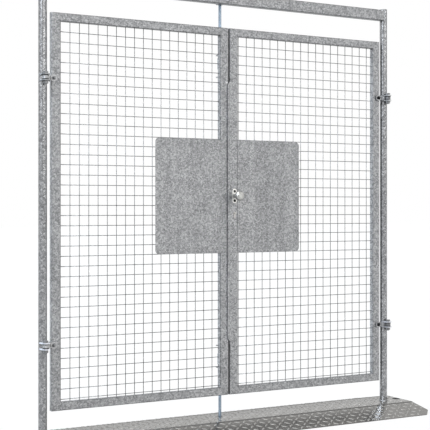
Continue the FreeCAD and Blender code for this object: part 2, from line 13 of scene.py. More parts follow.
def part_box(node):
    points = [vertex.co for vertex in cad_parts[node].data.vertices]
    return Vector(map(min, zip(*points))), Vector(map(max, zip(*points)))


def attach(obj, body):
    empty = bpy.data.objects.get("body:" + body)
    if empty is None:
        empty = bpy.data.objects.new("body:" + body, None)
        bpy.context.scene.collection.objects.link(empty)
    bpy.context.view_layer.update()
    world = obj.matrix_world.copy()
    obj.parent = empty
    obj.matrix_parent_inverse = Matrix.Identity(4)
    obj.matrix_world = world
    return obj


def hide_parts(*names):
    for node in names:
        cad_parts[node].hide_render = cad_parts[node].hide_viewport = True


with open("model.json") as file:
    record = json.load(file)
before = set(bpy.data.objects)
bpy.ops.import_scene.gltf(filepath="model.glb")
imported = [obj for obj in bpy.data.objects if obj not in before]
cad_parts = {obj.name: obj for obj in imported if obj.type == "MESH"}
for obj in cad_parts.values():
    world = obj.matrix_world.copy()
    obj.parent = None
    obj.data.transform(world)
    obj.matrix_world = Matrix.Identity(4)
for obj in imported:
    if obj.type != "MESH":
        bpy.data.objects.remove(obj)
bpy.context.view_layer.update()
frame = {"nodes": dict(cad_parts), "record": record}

SIDES = ("left", "right")
LEVELS = ("lower", "upper")
REAR = Vector((0, 1, 0))

# Camera of the photograph: place, heading from +Y towards +X, lens, vertical shift and sensor
CAMERA_PLACE = (-2.9499, -5.0957, 1.1472)
CAMERA_HEADING = math.radians(29.408)
CAMERA_LENS = 92.81
CAMERA_SHIFT = -0.0154
SENSOR_WIDTH = 36.0

# Stage
FLOOR_HALF = 60
FLOOR_CLOUD = 0.8
FLOOR_GLOW = 0.885
FLOOR_BOUNCE = ((0.0, (0.18, 0.18, 0.18)), (1.0, (0.21, 0.21, 0.21)))
FLOOR_SHADOW = ((0.0, (0.12, 0.12, 0.12)), (1.0, (0.13, 0.13, 0.13)))
SKY_TONES = ((0.0, (0.86, 0.93, 1.0)), (0.5, (0.95, 0.96, 0.97)), (1.0, (1.0, 0.98, 0.94)))
SKY_STRENGTH = 0.55

# Zinc: crystals of two sizes under soft clouds, with streaks down a sheet
FINE_CRYSTAL = 0.45
FINE_SHARE = 0.4
CLOUD_SIZE = 14
CLOUD_SHARE = 0.22
STREAK_WIDTH = 0.045
STREAK_STRETCH = 0.02
ZINC_STOPS = (0.2, 0.6, 0.8)
MIDDLE_TONE = 0.54
TEXTURE_DETAIL = 3.0
ZINC_BUMP = {"Strength": 0.2, "Distance": 0.0004}

# Drawn metal: fine grain along Z with broader clouds
GRAIN_STRETCH = 0.08
GRAIN_CLOUD = 12
GRAIN_CLOUD_SHARE = 0.35
GRAIN_STOPS = (0.3, 0.7)
GRAIN_BUMP = {"Strength": 0.12, "Distance": 0.0002}

# Painted light and shade; each pair of limits runs from no effect to the full one
OCCLUSION_SHADE_REACH = 0.015
OCCLUSION_SHADE_SAMPLES = 8
FACES_UNSHADED = (0.5, 0.95)
FACES_SIDE_LIT = (0.5, 0.95)
CORNER_SHADE_SPAN = (0.97, 0.82)
GAP_CORNER_X = -0.006
GAP_CORNER_REACH = (0.006, 0.009)
STRIP_LIGHT_INSET = 0.002
STRIP_LIGHT_REACH = (0.010, 0.007)
STRIP_LIGHT_FADE = 0.004
LIT_HEIGHTS = (1.5, 0.9)
LIT_TILT = (0.6, 0.9)
SHADE_TILT = (-0.6, -0.9)
PIN_SHADE_REACH = (1.014, 1.024)

# Welded mesh; the welds are in shares of the wire's radius
WIRE_RADIUS = 0.00175
WIRE_SIDES = 8
WIRE_PITCH = 0.05
WIRE_INSETS = {"left": 0.0045, "right": 0.010}
LEVEL_INSET = 0.0105
CROSSING_WELD = (1.25, 1.1, 1.25)
END_WELD = (1.5, 1.5, 1.5)

# Tread plate
TREAD_PITCH = (0.043, 0.0397)
TREAD_ANGLE = math.radians(45)
TREAD_LENGTH = 0.040
TREAD_WIDTH = 0.0125
TREAD_HEIGHT = 0.0013
TREAD_SINK = 0.0003
TREAD_TAPER = 0.6
CREASE_LINE_RADIUS = 0.004
CREASE_LINE_SINK = 0.004
CREASE_LINE_OFFSET = 0.009
CREASE_LINE_SIDES = 12
RAMP_NOSE = 0.003
CORNER_CUT = (0.058, 0.060)
ROD_HOLE_RADIUS = 0.013
ROD_FROM_LEAF = 0.017

# One bar: corners in shares of its half length and width, and steps of (share of the size, height)
BAR_CORNERS = ((1, 0), (0.62, 0.72), (0, 1), (-0.62, 0.72), (-1, 0), (-0.62, -0.72), (0, -1), (0.62, -0.72))
BAR_STEPS = ((1.0, -TREAD_SINK), (0.78, 0.75 * TREAD_HEIGHT), (0.4, TREAD_HEIGHT))
BAR_ROOM = 0.42 * TREAD_LENGTH
BAR_EDGE_ROOM = 0.7 * BAR_ROOM

# Strap bolts and hinge eyes
BOLT_ACROSS = {"left": 0.013, "right": 0.017}
BOLT_HEAD = 0.0075
NUT_HEIGHT = 0.008
HEXAGON_SIDES = 6
HEXAGON_EDGE = 0.12
HEXAGON_BASE = 0.93
HEXAGON_TOP = 0.86
THREAD_RADIUS = 0.005
THREAD_PROUD = 0.005
THREAD_CHAMFER = 0.001
THREAD_TIP = 0.84
THREAD_SIDES = 16
WASHER_RADIUS = 0.017
WASHER_THICKNESS = 0.002
WASHER_SIDES = 20
STRAP_BOLT_INSETS = {"left": 0.011, "right": 0.0075}
STRAP_THICKNESS = 0.006
COLLAR_PROUD = 0.0006
COLLAR_DEPTH = 0.002
COLLAR_HEIGHT = 0.0042
COLLAR_SIDES = 40

# Lock: the screws' rings and heads are (share of the radius, height) steps
SCREW_SPACING = 0.050
SCREW_RADIUS = 0.0074
SCREW_SIDES = 20
SCREW_RING_HEIGHT = 0.0009
SCREW_RING = ((1.12, 0), (1.1, 0.0007), (1.0, SCREW_RING_HEIGHT))
SCREW_HEAD = ((1.0, 0), (0.9, 0.0006), (0.5, 0.0008))
PLUG_RADIUS = 0.0055
PLUG_TIP = 0.94
PLUG_HEIGHT = 0.0007
PLUG_DROP = 0.0085
PLUG_SIDES = 24
KEY_SLOT = (0.0012, 0.0005, 0.0062)

# Welds, plate edges and sleeves; the weld sizes of each place are shares of the plain bead
WELD_RADIUS = 0.0024
WELD_STEP = 0.9
FOOT_WELD = 1.5
FOOT_WELD_OFFSET = 0.5
FOOT_WELD_STEPS = 24
LUG_WELD = 0.8
LUG_WELD_OFFSET = 0.3
LUG_WELD_STEPS = 12
LUG_WELD_ARC = (math.radians(216), math.radians(324))
LUG_THICKNESS = 0.006
LUG_GAP = 0.023
KEEPER_WELD = 0.8
GUIDE_WELD = 0.7
GUIDE_THICKNESS = 0.006
EDGE_RADIUS = 0.002
EDGE_STEPS = 3
SLEEVE_WALL = 0.0026
SLEEVE_FLOOR = 0.005
SLEEVE_SIDES = 32


# Nodes
def add_node(tree, kind, values=None, **settings):
    """New node with its settings, and its inputs set or linked."""
    node = tree.nodes.new(kind)
    for name, value in settings.items():
        setattr(node, name, value)
    for name, value in (values or {}).items():
        if isinstance(value, bpy.types.NodeSocket):
            tree.links.new(value, node.inputs[name])
        else:
            node.inputs[name].default_value = value
    return node


def new_material(name):
    """Empty material, its node tree and the object's own coordinates."""
    material = bpy.data.materials.new(name)
    material.use_nodes = True
    tree = material.node_tree
    tree.nodes.clear()
    place = add_node(tree, "ShaderNodeTexCoord").outputs["Object"]
    return material, tree, place


def close_material(tree, shader):
    """Output of a material from its shader."""
    add_node(tree, "ShaderNodeOutputMaterial", {"Surface": shader.outputs[0]})


def ramp_node(tree, factor, stops):
    """Colour ramp through (position, colour) stops."""
    node = add_node(tree, "ShaderNodeValToRGB", {"Fac": factor})
    elements = node.color_ramp.elements
    while len(elements) < len(stops):
        elements.new(0.5)
    for element, (position, colour) in zip(elements, stops):
        element.position = position
        element.color = (*colour, 1.0)
    return node.outputs["Color"]


def mix_values(tree, first, second, share):
    """Weighted mean of two values."""
    node = add_node(tree, "ShaderNodeMix", {"Factor": share, "A": first, "B": second}, data_type="FLOAT")
    return node.outputs["Result"]


def mix_colours(tree, first, second, share):
    """Colour that goes over to a plain one by a share."""
    # Inputs 6 and 7 and output 2 are the colour sockets among several of the same names
    values = {"Factor": share, 6: first, 7: (*second, 1.0)}
    return add_node(tree, "ShaderNodeMix", values, data_type="RGBA").outputs[2]


def span(tree, value, low, high):
    """Value from 0 to 1 spread between two limits."""
    values = {"Value": value, "To Min": low, "To Max": high}
    return add_node(tree, "ShaderNodeMapRange", values).outputs["Result"]


def share_between(tree, value, start, end):
    """0 where a value is at its start and 1 where it is at its end."""
    values = {"Value": value, "From Min": start, "From Max": end}
    return add_node(tree, "ShaderNodeMapRange", values).outputs["Result"]


def calculate(tree, operation, first, second):
    """Result of one operation on two values."""
    return add_node(tree, "ShaderNodeMath", {0: first, 1: second}, operation=operation).outputs[0]


def offset_from(tree, place, origin):
    """Place as measured from another origin."""
    return add_node(tree, "ShaderNodeVectorMath", {0: place, 1: origin}, operation="SUBTRACT").outputs[0]


def sizes_along(tree, vector):
    """Sizes of a vector along X, Y and Z, without their signs."""
    sizes = add_node(tree, "ShaderNodeVectorMath", {0: vector}, operation="ABSOLUTE").outputs[0]
    return add_node(tree, "ShaderNodeSeparateXYZ", {"Vector": sizes}).outputs


def facing(tree):
    """Direction that the surface looks in, in the object's own axes."""
    return add_node(tree, "ShaderNodeTexCoord").outputs["Normal"]


def scaled(tree, colour, share):
    """Colour made darker or lighter by a share."""
    return add_node(tree, "ShaderNodeVectorMath", {0: colour, "Scale": share}, operation="SCALE").outputs[0]


def stretched_along_z(tree, place, share):
    """Coordinates in which a texture is drawn out along Z."""
    values = {"Vector": place, "Scale": (1.0, 1.0, share)}
    return add_node(tree, "ShaderNodeMapping", values).outputs["Vector"]


def crystals(tree, place, size):
    """Random value of each zinc crystal of about one size."""
    cells = add_node(tree, "ShaderNodeTexVoronoi", {"Vector": place, "Scale": 1 / size}).outputs["Color"]
    return add_node(tree, "ShaderNodeSeparateColor", {"Color": cells}).outputs["Red"]


def noise(tree, place, size, detail=2.0):
    """Soft noise whose lumps are about one size."""
    values = {"Vector": place, "Scale": 1 / size, "Detail": detail}
    return add_node(tree, "ShaderNodeTexNoise", values).outputs["Fac"]


# Painted light and shade
def occlusion_shaded(tree, colour, limits, fronts_unshaded):
    """Colour with painted shade that darkens it in corners by ambient occlusion, left off the faces to front
    and rear.
    """
    values = {"Distance": OCCLUSION_SHADE_REACH}
    shade = add_node(tree, "ShaderNodeAmbientOcclusion", values, samples=OCCLUSION_SHADE_SAMPLES).outputs["AO"]
    unshaded = share_between(tree, shade, *limits)
    if fronts_unshaded:
        faces_front = share_between(tree, sizes_along(tree, facing(tree))["Y"], *FACES_UNSHADED)
        unshaded = mix_values(tree, unshaded, 1.0, faces_front)
    return scaled(tree, colour, unshaded)


def corner_shaded(tree, colour, place, depth):
    """Colour with painted shade on a tube's round corners, apart from the one at the meeting gap."""
    sides = sizes_along(tree, facing(tree))
    wider = calculate(tree, "MAXIMUM", sides["X"], sides["Y"])
    widest = calculate(tree, "MAXIMUM", wider, sides["Z"])
    corner = share_between(tree, widest, *CORNER_SHADE_SPAN)
    from_gap = offset_from(tree, place, (GAP_CORNER_X, 0.0, 0.0))
    away = share_between(tree, sizes_along(tree, from_gap)["X"], *GAP_CORNER_REACH)
    corner_shade = calculate(tree, "MULTIPLY", corner, away)
    return scaled(tree, colour, span(tree, corner_shade, 1.0, 1.0 - depth))


def lit_beside_strip(tree, colour, place, gain):
    """Colour with painted light down the left leaf beside the cover strip's lip, where the strip casts its
    shadow.
    """
    low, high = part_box("cover_strip")
    half_height = (high.z - low.z) / 2
    sizes = sizes_along(tree, offset_from(tree, place, (low.x + STRIP_LIGHT_INSET, 0.0, (low.z + high.z) / 2)))
    beside = share_between(tree, sizes["X"], *STRIP_LIGHT_REACH)
    along = share_between(tree, sizes["Z"], half_height + STRIP_LIGHT_FADE, half_height - STRIP_LIGHT_FADE)
    lit_line = calculate(tree, "MULTIPLY", beside, along)
    return scaled(tree, colour, span(tree, lit_line, 1.0, gain))


def side_lit(tree, colour, gain):
    """Colour with painted light that makes the faces to left and right paler, where the post shades them."""
    sideways = share_between(tree, sizes_along(tree, facing(tree))["X"], *FACES_SIDE_LIT)
    return scaled(tree, colour, span(tree, sideways, 1.0, gain))


def lit_above_shaded_below(tree, colour, place, pale, shade_tone):
    """Colour with painted light on the lower half and on faces that look up, and painted shade on those that
    look down.
    """
    up = add_node(tree, "ShaderNodeSeparateXYZ", {"Vector": facing(tree)}).outputs["Z"]
    height = sizes_along(tree, place)["Z"]
    colour = mix_colours(tree, colour, pale, share_between(tree, height, *LIT_HEIGHTS))
    colour = mix_colours(tree, colour, pale, share_between(tree, up, *LIT_TILT))
    return mix_colours(tree, colour, shade_tone, share_between(tree, up, *SHADE_TILT))


def greased(tree, colour, place, grease):
    """Colour with painted shade round the hinge pins."""
    near_pin = share_between(tree, sizes_along(tree, place)["X"], *PIN_SHADE_REACH)
    return mix_colours(tree, colour, grease, near_pin)


# Metals
def zinc_colour(tree, place, dark, light, crystal, streaks):
    """Colour of zinc and its pattern of crystals."""
    coarse = crystals(tree, place, crystal)
    fine = crystals(tree, place, crystal * FINE_CRYSTAL)
    spangle = mix_values(tree, coarse, fine, FINE_SHARE)
    clouded = mix_values(tree, spangle, noise(tree, place, crystal * CLOUD_SIZE, TEXTURE_DETAIL), CLOUD_SHARE)
    if streaks:
        drawn = stretched_along_z(tree, place, STREAK_STRETCH)
        clouded = mix_values(tree, clouded, noise(tree, drawn, STREAK_WIDTH, TEXTURE_DETAIL), streaks)
    middle = [low + MIDDLE_TONE * (high - low) for low, high in zip(dark, light)]
    return ramp_node(tree, clouded, list(zip(ZINC_STOPS, (dark, middle, light)))), spangle


def galvanised(name, dark, light, crystal=0.0075, metallic=0.4, rough=(0.34, 0.54), edge=1.0,
               occlusion_shade=(-0.65, 1.0), fronts_unshaded=False, corner_shade=0.0, streaks=0.0, strip_light=0.0, pale=0.0, tilt_light_and_shade=None,
               grease=None, shine=0.5):
    """Zinc-coated steel with its crystals, and with painted light and shade."""
    material, tree, place = new_material(name)
    colour, spangle = zinc_colour(tree, place, dark, light, crystal, streaks)
    colour = occlusion_shaded(tree, colour, occlusion_shade, fronts_unshaded)
    if corner_shade:
        colour = corner_shaded(tree, colour, place, corner_shade)
    if strip_light:
        colour = lit_beside_strip(tree, colour, place, strip_light)
    if pale:
        colour = side_lit(tree, colour, pale)
    if tilt_light_and_shade:
        colour = lit_above_shaded_below(tree, colour, place, *tilt_light_and_shade)
    if grease:
        colour = greased(tree, colour, place, grease)
    rise = add_node(tree, "ShaderNodeBump", {"Height": spangle, **ZINC_BUMP})
    shader = add_node(tree, "ShaderNodeBsdfPrincipled", {
        "Base Color": colour, "Metallic": metallic, "Roughness": span(tree, spangle, *rough),
        "Specular IOR Level": shine, "Specular Tint": (edge, edge, edge, 1.0),
        "Normal": rise.outputs["Normal"]})
    close_material(tree, shader)
    return material


def drawn_metal(name, dark, light, grain, metallic, rough=(0.25, 0.4), shine=0.5):
    """Drawn, turned or plated metal with its fine grain."""
    material, tree, place = new_material(name)
    drawn = noise(tree, stretched_along_z(tree, place, GRAIN_STRETCH), grain, TEXTURE_DETAIL)
    streaks = mix_values(tree, drawn, noise(tree, place, grain * GRAIN_CLOUD), GRAIN_CLOUD_SHARE)
    colour = ramp_node(tree, streaks, list(zip(GRAIN_STOPS, (dark, light))))
    rise = add_node(tree, "ShaderNodeBump", {"Height": streaks, **GRAIN_BUMP})
    shader = add_node(tree, "ShaderNodeBsdfPrincipled", {
        "Base Color": colour, "Metallic": metallic, "Roughness": span(tree, streaks, *rough),
        "Specular IOR Level": shine, "Normal": rise.outputs["Normal"]})
    close_material(tree, shader)
    return material


# Tones of the dark and the light crystals of the tubes, and of the painted light and painted shade on the
# lugs
TUBE_TONES = ((0.155, 0.158, 0.164), (0.503, 0.506, 0.515))
LUG_LIGHT_AND_SHADE = ((0.86, 0.87, 0.93), (0.02, 0.02, 0.021))

# Tubes, sheets and posts
# Painted shade darkens the zinc in corners, and the tubes' round corners too
tube_metal = galvanised("galvanised_tube", *TUBE_TONES, occlusion_shade=(-0.4, 1.0), fronts_unshaded=True, corner_shade=0.68)
stile_metal = galvanised("galvanised_stile", *TUBE_TONES, occlusion_shade=(-4.0, 1.0), fronts_unshaded=True, corner_shade=0.45)
# Painted light on the sides of the left hinge stile, where the post shades them
side_lit_stile_metal = galvanised("side_lit_stile", *TUBE_TONES, occlusion_shade=(-4.0, 1.0), fronts_unshaded=True, corner_shade=0.1,
                             pale=1.45)
# Painted light down the left meeting stile beside the cover strip
strip_lit_metal = galvanised("strip_lit_tube", *TUBE_TONES, occlusion_shade=(-0.4, 1.0), fronts_unshaded=True, corner_shade=0.72, strip_light=1.75)
sheet_metal = galvanised("galvanised_sheet", (0.117, 0.120, 0.125), (0.567, 0.57, 0.579), crystal=0.0065,
                         fronts_unshaded=True, streaks=0.25)
strip_metal = galvanised("galvanised_strip", (0.152, 0.155, 0.161), (0.54, 0.543, 0.552), crystal=0.0065,
                         occlusion_shade=(-4.0, 1.0), fronts_unshaded=True)
post_metal = galvanised("galvanised_post", (0.158, 0.161, 0.168), (0.478, 0.481, 0.49), metallic=0.85,
                        rough=(0.17, 0.27), edge=0.9, occlusion_shade=(-4.0, 1.0))
wire_metal = galvanised("mesh_wire", (0.11, 0.112, 0.116), (0.28, 0.282, 0.288), crystal=0.006)
weld_metal = galvanised("weld_zinc", (0.22, 0.223, 0.228), (0.42, 0.424, 0.432), crystal=0.004)

# Ramp
tread_metal = galvanised("tread_plate", (0.152, 0.147, 0.139), (0.226, 0.219, 0.207), crystal=0.012,
                         metallic=1.0, rough=(0.18, 0.28))
# A lighter copy of the plate's zinc: painted light that the raised bars catch
bar_metal = galvanised("tread_bars", (0.25, 0.243, 0.231), (0.345, 0.336, 0.32), crystal=0.012,
                       metallic=0.85, rough=(0.55, 0.68), edge=0.8)
# Near-black zinc: painted shade of the step at the creases
crease_shade_metal = galvanised("crease_shade", (0.07, 0.069, 0.067), (0.14, 0.138, 0.134), crystal=0.006,
                        metallic=0.3)
# Near-black zinc: painted shade inside the sleeves under the deck's holes
shaded_sleeve_metal = galvanised("shaded_sleeve_zinc", (0.05, 0.05, 0.052), (0.12, 0.12, 0.124), metallic=0.1)

# Hinges
hinge_metal = galvanised("hinge_zinc", (0.34, 0.344, 0.352), (0.68, 0.684, 0.694), crystal=0.005,
                         metallic=0.3, occlusion_shade=(0.35, 0.95))
# A darker copy of the hinge zinc for the right straps, with painted shade round the pin
shaded_strap_metal = galvanised("greased_zinc", (0.25, 0.253, 0.26), (0.56, 0.563, 0.572), crystal=0.005,
                           metallic=0.3, occlusion_shade=(0.35, 0.95), grease=(0.17, 0.17, 0.175))
# Lugs with painted light on the lower hinges and on top faces, and painted shade on their undersides
lug_metal = galvanised("lug_zinc", (0.30, 0.304, 0.312), (0.52, 0.524, 0.534), crystal=0.005,
                       metallic=0.0, occlusion_shade=(0.0, 0.9), tilt_light_and_shade=LUG_LIGHT_AND_SHADE, shine=0.03)
# A lighter copy of the lug zinc for the right hinges: painted light
lit_lug_metal = galvanised("lit_lug_zinc", (0.66, 0.664, 0.674), (0.86, 0.864, 0.874), crystal=0.005,
                            metallic=0.0, occlusion_shade=(0.0, 0.9), tilt_light_and_shade=LUG_LIGHT_AND_SHADE, shine=0.03)
nut_metal = galvanised("nut_zinc", (0.20, 0.203, 0.21), (0.42, 0.423, 0.432), crystal=0.004,
                       metallic=0.1, occlusion_shade=(0.3, 1.0), shine=0.2)
pin_metal = drawn_metal("hinge_bolt_zinc", (0.13, 0.133, 0.138), (0.30, 0.303, 0.311), 0.002, metallic=0.4)

# Shoot bolts and lock
rod_metal = drawn_metal("zinc_plated_bar", (0.212, 0.272, 0.34), (0.365, 0.434, 0.52), 0.002,
                        metallic=0.6, rough=(0.17, 0.27))
satin_metal = drawn_metal("satin_fitting", (0.42, 0.42, 0.40), (0.58, 0.58, 0.56), 0.0015,
                          metallic=0.5, rough=(0.2, 0.3))
plate_metal = drawn_metal("pale_fitting", (0.70, 0.69, 0.66), (0.84, 0.83, 0.80), 0.0015, metallic=0.3)
brass_metal = drawn_metal("nickel_brass", (0.42, 0.40, 0.385), (0.56, 0.54, 0.52), 0.0015, metallic=0.5)
# Near black: painted shade for screw sockets, key slots, hinge eye collars and the right strap nuts
shade_dark_steel = drawn_metal("shade_dark_fastener", (0.012, 0.012, 0.013), (0.035, 0.035, 0.038), 0.002,
                         metallic=0.0, rough=(0.5, 0.6), shine=0.05)

# Metal of each node whose name holds the word; a later word wins
NODE_METALS = {
    "post": post_metal,
    "cap": sheet_metal,
    "header": tube_metal,
    "rail": tube_metal,
    "stile": tube_metal,
    "hinge_stile": stile_metal,
    "left_hinge_stile": side_lit_stile_metal,
    "left_meeting_stile": strip_lit_metal,
    "guard": sheet_metal,
    "cover_strip": strip_metal,
    "ramp": tread_metal,
    "lugs": lug_metal,
    "right_hinge_lugs": lit_lug_metal,
    "strap": hinge_metal,
    "right_upper_hinge_strap": shaded_strap_metal,
    "right_lower_hinge_strap": shaded_strap_metal,
    "pins": pin_metal,
    "bolt": rod_metal,
    "guides": tube_metal,
    "keeper": tube_metal,
    "knob": satin_metal,
    "escutcheon": plate_metal,
    "lever": satin_metal,
    "lock": brass_metal,
    "mesh": wire_metal,
}


def round_edges(node):
    """Soften the cut edges of a plate, as dipping in zinc does."""
    rounding = node.modifiers.new("dipped_edges", "BEVEL")
    rounding.width = EDGE_RADIUS
    rounding.segments = EDGE_STEPS
    rounding.limit_method = "ANGLE"
    rounding.harden_normals = True


def finish_nodes():
    """Give each solid of the frame its metal, and soften the plates' edges."""
    for name, node in frame["nodes"].items():
        metals = [metal for word, metal in NODE_METALS.items() if word in name]
        node.data.materials.clear()
        node.data.materials.append(metals[-1])
        if "lugs" in name or "strap" in name or name == "cover_strip":
            round_edges(node)


# Shapes
def new_piece(name, shape, metal, body, smooth=True):
    """Turn a bmesh into a piece that rides on a body."""
    mesh = bpy.data.meshes.new(name)
    bmesh.ops.recalc_face_normals(shape, faces=shape.faces)
    shape.to_mesh(mesh)
    shape.free()
    if smooth:
        mesh.shade_smooth()
    else:
        mesh.shade_flat()
    mesh.materials.append(metal)
    piece = bpy.data.objects.new(name, mesh)
    bpy.context.scene.collection.objects.link(piece)
    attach(piece, body)
    return piece


def axes_matrix(centre, axis):
    """Place whose Z axis points along a direction."""
    return Matrix.Translation(centre) @ Vector(axis).to_track_quat("Z", "Y").to_matrix().to_4x4()


def add_loops(shape, loops):
    """Bands of faces from each loop of corners to the next."""
    for low, high in zip(loops, loops[1:]):
        for step in range(len(low)):
            after = (step + 1) % len(low)
            shape.faces.new((low[step], low[after], high[after], high[step]))


def add_closed_loops(shape, loops):
    """Closed solid through loops of corners."""
    add_loops(shape, loops)
    shape.faces.new(loops[0][::-1])
    shape.faces.new(loops[-1])


def ring_loops(shape, matrix, rings, sides):
    """Loops of corners round an axis, one for each (radius, height) ring."""
    loops = []
    for radius, height in rings:
        loop = []
        for step in range(sides):
            angle = 2 * math.pi * step / sides
            point = Vector((radius * math.cos(angle), radius * math.sin(angle), height))
            loop.append(shape.verts.new(matrix @ point))
        loops.append(loop)
    return loops


def add_rings(shape, matrix, rings, sides):
    """Closed solid of revolution or prism through (radius, height) rings."""
    add_closed_loops(shape, ring_loops(shape, matrix, rings, sides))


def add_lathe(shape, matrix, rings, sides):
    """Turned ring whose section runs through (radius, height) rings and closes on the first."""
    loops = ring_loops(shape, matrix, rings, sides)
    add_loops(shape, loops + loops[:1])


def add_rod(shape, start, end, radius, sides):
    """Straight round rod between two points."""
    run = Vector(end) - Vector(start)
    add_rings(shape, axes_matrix(start, run), [(radius, 0), (radius, run.length)], sides)


def add_hexagon(shape, centre, axis, across, height):
    """Bolt head or nut with its outer corners turned off."""
    corner = across / math.sqrt(3)
    edge = HEXAGON_EDGE * height
    rings = [(corner * HEXAGON_BASE, 0), (corner, edge), (corner, height - 2 * edge),
             (corner * HEXAGON_TOP, height)]
    add_rings(shape, axes_matrix(centre, axis), rings, HEXAGON_SIDES)


def add_bead(shape, centre, radii):
    """Small rounded lump."""
    matrix = Matrix.Translation(centre) @ Matrix.Diagonal((*radii, 1.0))
    bmesh.ops.create_icosphere(shape, subdivisions=1, radius=1.0, matrix=matrix)


def add_weld(shape, points, radius, closed=False):
    """Rippled bead along a line of points."""
    ends = points[1:] + points[:1] if closed else points[1:]
    for start, end in zip(points, ends):
        run = Vector(end) - Vector(start)
        count = max(1, round(run.length / (radius * WELD_STEP)))
        for index in range(count):
            add_bead(shape, Vector(start) + run * (index / count), (radius,) * 3)


def ring_points(centre, radius, count, start=0.0, end=2 * math.pi):
    """Points along a level circle or arc."""
    points = []
    for step in range(count + 1):
        angle = start + (end - start) * step / count
        x = centre.x + radius * math.cos(angle)
        y = centre.y + radius * math.sin(angle)
        points.append(Vector((x, y, centre.z)))
    return points


# Welded mesh
def mesh_places(low, high, inset):
    """Places of a row of wires between two ends, from its first inset."""
    count = 1 + int((high - low - inset - 2 * WIRE_RADIUS) / WIRE_PITCH)
    return [low + inset + WIRE_PITCH * step for step in range(count)]


def make_wire_mesh(side):
    """Round wires of one leaf, welded where they cross and where they meet the frame."""
    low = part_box(f"{side}_mesh_lower")[0]
    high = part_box(f"{side}_mesh_upper")[1]
    front = low.y + WIRE_RADIUS
    back = high.y - WIRE_RADIUS
    columns = mesh_places(low.x, high.x, WIRE_INSETS[side])
    rows = mesh_places(low.z, high.z, LEVEL_INSET)
    shape = bmesh.new()
    for x in columns:
        add_rod(shape, (x, front, low.z), (x, front, high.z), WIRE_RADIUS, WIRE_SIDES)
    for z in rows:
        add_rod(shape, (low.x, back, z), (high.x, back, z), WIRE_RADIUS, WIRE_SIDES)
    wires = new_piece(f"{side}_wire_mesh", shape, wire_metal, f"{side}_leaf")
    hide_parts(f"{side}_mesh_lower", f"{side}_mesh_upper")
    welds = bmesh.new()
    middle = (front + back) / 2
    crossing = [WIRE_RADIUS * share for share in CROSSING_WELD]
    end_bead = [WIRE_RADIUS * share for share in END_WELD]
    for x in columns:
        for z in rows:
            add_bead(welds, (x, middle, z), crossing)
        for z in (low.z, high.z):
            add_bead(welds, (x, front, z), end_bead)
    for z in rows:
        for x in (low.x, high.x):
            add_bead(welds, (x, back, z), end_bead)
    new_piece(f"{side}_mesh_welds", welds, wire_metal, f"{side}_leaf")


# Tread plate
def add_tread_bar(shape, matrix):
    """One raised bar of the tread, pointed at both ends."""
    half_length = TREAD_LENGTH / 2
    half_width = TREAD_WIDTH / 2
    loops = []
    for share, height in BAR_STEPS:
        reach = half_length * (1 - TREAD_TAPER + TREAD_TAPER * share)
        loop = []
        for along, across in BAR_CORNERS:
            point = Vector((along * reach, across * half_width * share, height))
            loop.append(shape.verts.new(matrix @ point))
        loops.append(loop)
    add_closed_loops(shape, loops)


def make_tread(name, plate, length, width, clear):
    """Bars in two directions over a plate, where the clear test allows them."""
    shape = bmesh.new()
    columns = 2 * math.ceil(length / TREAD_PITCH[0] / 2)
    rows = int(width / TREAD_PITCH[1])
    for column in range(columns):
        for row in range(rows):
            along = (column - (columns - 1) / 2) * TREAD_PITCH[0]
            across = (row + 0.5) * TREAD_PITCH[1]
            if not clear(along, across):
                continue
            turn = Matrix.Rotation(TREAD_ANGLE if (column + row) % 2 else -TREAD_ANGLE, 4, "Z")
            add_tread_bar(shape, plate @ Matrix.Translation((along, across, 0)) @ turn)
    new_piece(name, shape, bar_metal, "frame")


def deck_holes():
    """Centre and radius of each post and hole that the deck's bars keep off."""
    holes = []
    for side in SIDES:
        low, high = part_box(f"{side}_post")
        holes.append(((low + high) / 2, (high.x - low.x) / 2))
    for mount in frame["record"]["mounts"]:
        if mount["kind"] == "bore":
            holes.append((Vector(mount["pos_m"]), mount["dims"]["r_mm"] / 1000))
    low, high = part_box("lower_bolt_guides")
    holes.append((Vector(((low.x + high.x) / 2, low.y + ROD_FROM_LEAF, 0)), ROD_HOLE_RADIUS))
    return holes


def make_deck_tread():
    """Bars of the flat deck."""
    low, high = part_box("ramp_deck")
    holes = deck_holes()

    def clear(along, across):
        """Whether a bar at a place keeps off the posts and holes."""
        point = Vector((along, low.y + across, 0))
        return all((point.xy - centre.xy).length > radius + BAR_ROOM for centre, radius in holes)

    make_tread("deck_tread", Matrix.Translation((0, low.y, high.z)), 2 * high.x, high.y - low.y, clear)


def make_slope_tread(name, sign):
    """Bars of one sloping plate, whose outer corners are cut off."""
    half_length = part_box("ramp_deck")[1].x
    low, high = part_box(f"{name}_ramp")
    depth = high.y - low.y
    rise = high.z - RAMP_NOSE
    slope_length = math.hypot(depth, rise)
    up_slope = Vector((0, -sign * depth, rise)).normalized()
    along_edge = Vector((-sign, 0, 0))
    plate = Matrix((along_edge, up_slope, along_edge.cross(up_slope))).transposed().to_4x4()
    plate.translation = Vector((0, sign * max(abs(low.y), abs(high.y)), RAMP_NOSE))

    def clear(along, across):
        """Whether a bar at a place keeps inside the cut corners."""
        from_end = half_length - abs(along) - BAR_ROOM
        from_edge = across * (depth / slope_length) - BAR_EDGE_ROOM
        return from_end / CORNER_CUT[0] + from_edge / CORNER_CUT[1] > 1

    make_tread(f"{name}_tread", plate, 2 * half_length, slope_length, clear)


def make_crease_shade_lines():
    """Dark rods sunk along the creases where the sloping plates meet the deck, painted shade of the step
    there.
    """
    shape = bmesh.new()
    low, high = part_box("ramp_deck")
    z = high.z - CREASE_LINE_SINK
    for y in (low.y - CREASE_LINE_OFFSET, high.y + CREASE_LINE_OFFSET):
        add_rod(shape, (low.x, y, z), (high.x, y, z), CREASE_LINE_RADIUS, CREASE_LINE_SIDES)
    new_piece("crease_shade_lines", shape, crease_shade_metal, "frame")


